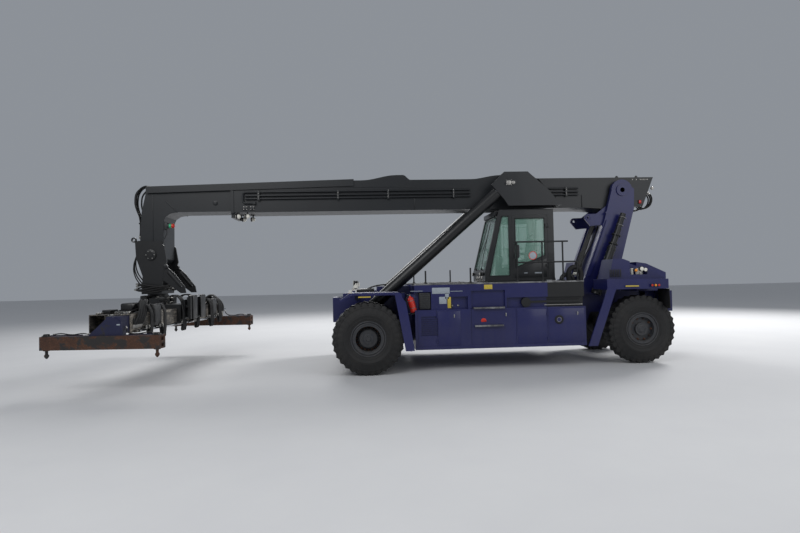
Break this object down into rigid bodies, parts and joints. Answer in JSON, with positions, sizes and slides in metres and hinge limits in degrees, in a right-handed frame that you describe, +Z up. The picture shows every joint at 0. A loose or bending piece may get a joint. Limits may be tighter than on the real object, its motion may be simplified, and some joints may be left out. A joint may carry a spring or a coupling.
{
  "type": "container reach stacker",
  "caption": "Wheeled container handler with a telescopic lifting boom over its cab and a slewing, telescoping spreader that locks into container corners.",
  "frame": {"origin": "on the floor under the middle of the box round the stored machine", "axes": "+X the way it drives, +Y its left side, +Z up"},
  "size_m": [13.979, 6.2796, 4.745],
  "materials": {
    "body_paint": "satin",
    "boom_paint": "satin",
    "black_paint": "semi-matte",
    "axle_paint": "rough",
    "engine": "rough",
    "rim_paint": "satin",
    "spreader_paint": "worn",
    "end_beam_rust": "rusty",
    "lock_steel": "worn",
    "chrome_rod": "polished",
    "tread_plate": "ribbed",
    "tyre": "matt",
    "glass": "clear",
    "seat": "woven",
    "console": "matt",
    "lamp": "clear",
    "pipe_steel": "gloss"
  },
  "bodies": {
    "chassis": {"frame": "body_paint", "counterweight": "body_paint", "boom_tower": "body_paint", "tower_ties": "body_paint", "engine_block": "engine", "drive_axle": "axle_paint", "steer_axle": "axle_paint", "fenders": "body_paint", "side_boxes": "body_paint", "lockers": "body_paint", "engine_covers": "black_paint", "deck": "tread_plate", "handrails": "black_paint", "exhaust": "black_paint", "cab_shell": "black_paint", "cab_glass": "glass", "operator_seat": "seat", "cab_console": "console", "lamps": "lamp"},
    "left_door": {"door_left": "black_paint", "door_left_glass": "glass"},
    "right_door": {"door_right": "black_paint", "door_right_glass": "glass"},
    "boom": {"outer_boom": "boom_paint", "boom_brackets": "boom_paint", "boom_pipes": "pipe_steel", "boom_lamps": "lamp"},
    "boom_extension": {"inner_boom": "boom_paint", "boom_cover": "boom_paint"},
    "head_yoke": {"yoke": "black_paint"},
    "slewing_head": {"slew_frame": "black_paint"},
    "spreader": {"spreader_frame": "spreader_paint"},
    "left_arm": {"spreader_arm_left": "end_beam_rust", "twistlocks_left": "lock_steel"},
    "right_arm": {"spreader_arm_right": "end_beam_rust", "twistlocks_right": "lock_steel"},
    "left_barrel": {"barrel_left": "black_paint"},
    "right_barrel": {"barrel_right": "black_paint"},
    "left_rod": {"rod_left": "chrome_rod"},
    "right_rod": {"rod_right": "chrome_rod"},
    "left_drive_wheels": {"drive_tyres_left": "tyre", "drive_rims_left": "rim_paint"},
    "right_drive_wheels": {"drive_tyres_right": "tyre", "drive_rims_right": "rim_paint"},
    "left_knuckle": {"knuckle_left": "axle_paint"},
    "right_knuckle": {"knuckle_right": "axle_paint"},
    "left_steer_wheel": {"steer_tyre_left": "tyre", "steer_rim_left": "rim_paint"},
    "right_steer_wheel": {"steer_tyre_right": "tyre", "steer_rim_right": "rim_paint"}
  },
  "joints": [
    {"name": "left_drive_spin", "type": "hinge", "parent": "chassis", "child": "left_drive_wheels", "pos_m": [0.46053, 1.515, 0.81], "axis": [0, 1, 0], "continuous": true},
    {"name": "right_drive_spin", "type": "hinge", "parent": "chassis", "child": "right_drive_wheels", "pos_m": [0.46053, -1.515, 0.81], "axis": [0, 1, 0], "continuous": true},
    {"name": "left_steer", "type": "hinge", "parent": "chassis", "child": "left_knuckle", "pos_m": [-6.03947, 1.12, 0.81], "axis": [0, 0, 1], "range_deg": [-50, 50]},
    {"name": "right_steer", "type": "hinge", "parent": "chassis", "child": "right_knuckle", "pos_m": [-6.03947, -1.12, 0.81], "axis": [0, 0, 1], "range_deg": [-50, 50]},
    {"name": "left_steer_spin", "type": "hinge", "parent": "left_knuckle", "child": "left_steer_wheel", "pos_m": [-6.03947, 1.3, 0.81], "axis": [0, 1, 0], "continuous": true},
    {"name": "right_steer_spin", "type": "hinge", "parent": "right_knuckle", "child": "right_steer_wheel", "pos_m": [-6.03947, -1.3, 0.81], "axis": [0, 1, 0], "continuous": true},
    {"name": "left_door_swing", "type": "hinge", "parent": "chassis", "child": "left_door", "pos_m": [-4.05947, 0.775, 2.8], "axis": [0, 0, 1], "range_deg": [0, 60]},
    {"name": "right_door_swing", "type": "hinge", "parent": "chassis", "child": "right_door", "pos_m": [-4.05947, -0.775, 2.8], "axis": [0, 0, -1], "range_deg": [0, 60]},
    {"name": "boom_lift", "type": "hinge", "parent": "chassis", "child": "boom", "pos_m": [-6.07947, 0, 4.27], "axis": [0, -1, 0], "range_deg": [0, 60]},
    {"name": "boom_extend", "type": "slide", "parent": "boom", "child": "boom_extension", "axis": [1, 0, 0], "range_m": [0, 6.8]},
    {"name": "head_level", "type": "hinge", "parent": "boom_extension", "child": "head_yoke", "pos_m": [5.71053, 0, 2.85], "axis": [0, -1, 0], "range_deg": [-60, 0]},
    {"name": "spreader_slew", "type": "hinge", "parent": "head_yoke", "child": "slewing_head", "pos_m": [5.71053, 0, 1.85], "axis": [0, 0, 1], "range_deg": [-99, 201]},
    {"name": "side_shift", "type": "slide", "parent": "slewing_head", "child": "spreader", "axis": [0.1045, 0.9945, 0], "range_m": [-0.8, 0.8]},
    {"name": "left_telescope", "type": "slide", "parent": "spreader", "child": "left_arm", "axis": [0.1045, 0.9945, 0], "range_m": [0, 3.05]},
    {"name": "right_telescope", "type": "slide", "parent": "spreader", "child": "right_arm", "axis": [-0.1045, -0.9945, 0], "range_m": [0, 3.05]},
    {"name": "left_barrel_swing", "type": "hinge", "parent": "chassis", "child": "left_barrel", "pos_m": [0.56053, 0.75, 1.3], "axis": [0, -1, 0], "range_deg": [-7, 0]},
    {"name": "left_rod_slide", "type": "slide", "parent": "left_barrel", "child": "left_rod", "axis": [-0.7577, 0, 0.6527], "range_m": [0, 2.901]},
    {"name": "right_barrel_swing", "type": "hinge", "parent": "chassis", "child": "right_barrel", "pos_m": [0.56053, -0.75, 1.3], "axis": [0, -1, 0], "range_deg": [-7, 0]},
    {"name": "right_rod_slide", "type": "slide", "parent": "right_barrel", "child": "right_rod", "axis": [-0.7577, 0, 0.6527], "range_m": [0, 2.901]}
  ],
  "couplings": [
    {"joint": "right_steer", "follows": "left_steer", "ratio": 1},
    {"joint": "head_level", "follows": "boom_lift", "ratio": -1},
    {"joint": "right_telescope", "follows": "left_telescope", "ratio": 1},
    {"joint": "left_barrel_swing", "follows": "boom_lift", "ratio": -0.0971},
    {"joint": "left_rod_slide", "follows": "boom_lift", "m_per_rad": 2.7697},
    {"joint": "right_barrel_swing", "follows": "boom_lift", "ratio": -0.0971},
    {"joint": "right_rod_slide", "follows": "boom_lift", "m_per_rad": 2.7697}
  ]
}
